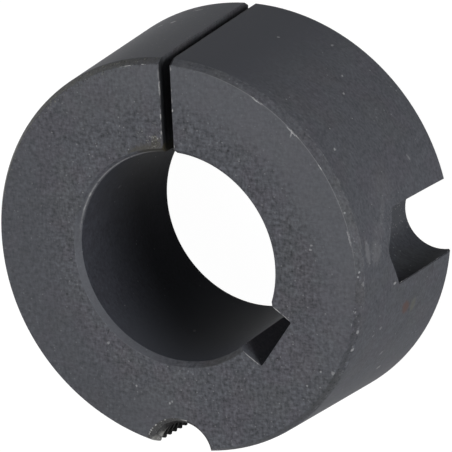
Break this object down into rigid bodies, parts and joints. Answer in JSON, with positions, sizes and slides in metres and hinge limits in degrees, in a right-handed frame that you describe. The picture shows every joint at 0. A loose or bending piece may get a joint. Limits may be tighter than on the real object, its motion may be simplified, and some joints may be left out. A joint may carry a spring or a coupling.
{
  "type": "taper bush",
  "caption": "Split cast-iron sleeve, conical outside and straight inside, with a keyed bore, half-round screw pockets on its rim and one saw slot that lets it close on a shaft.",
  "frame": {"origin": "centre of the bore in the plane of the large end face, which the bush stands on", "axes": "+Z along the bore axis from the large end to the small end; +Y through the middle of the saw slot; +X a few degrees from the middle of one plain screw pocket"},
  "size_m": [0.0566, 0.0568, 0.0254],
  "materials": {
    "blackened_iron": "machined cast iron, blacked by phosphate or oxide, dull satin, with fine grain and small bright nicks"
  },
  "bodies": {
    "root": {"taper_bush": "blackened_iron"}
  },
  "joints": []
}
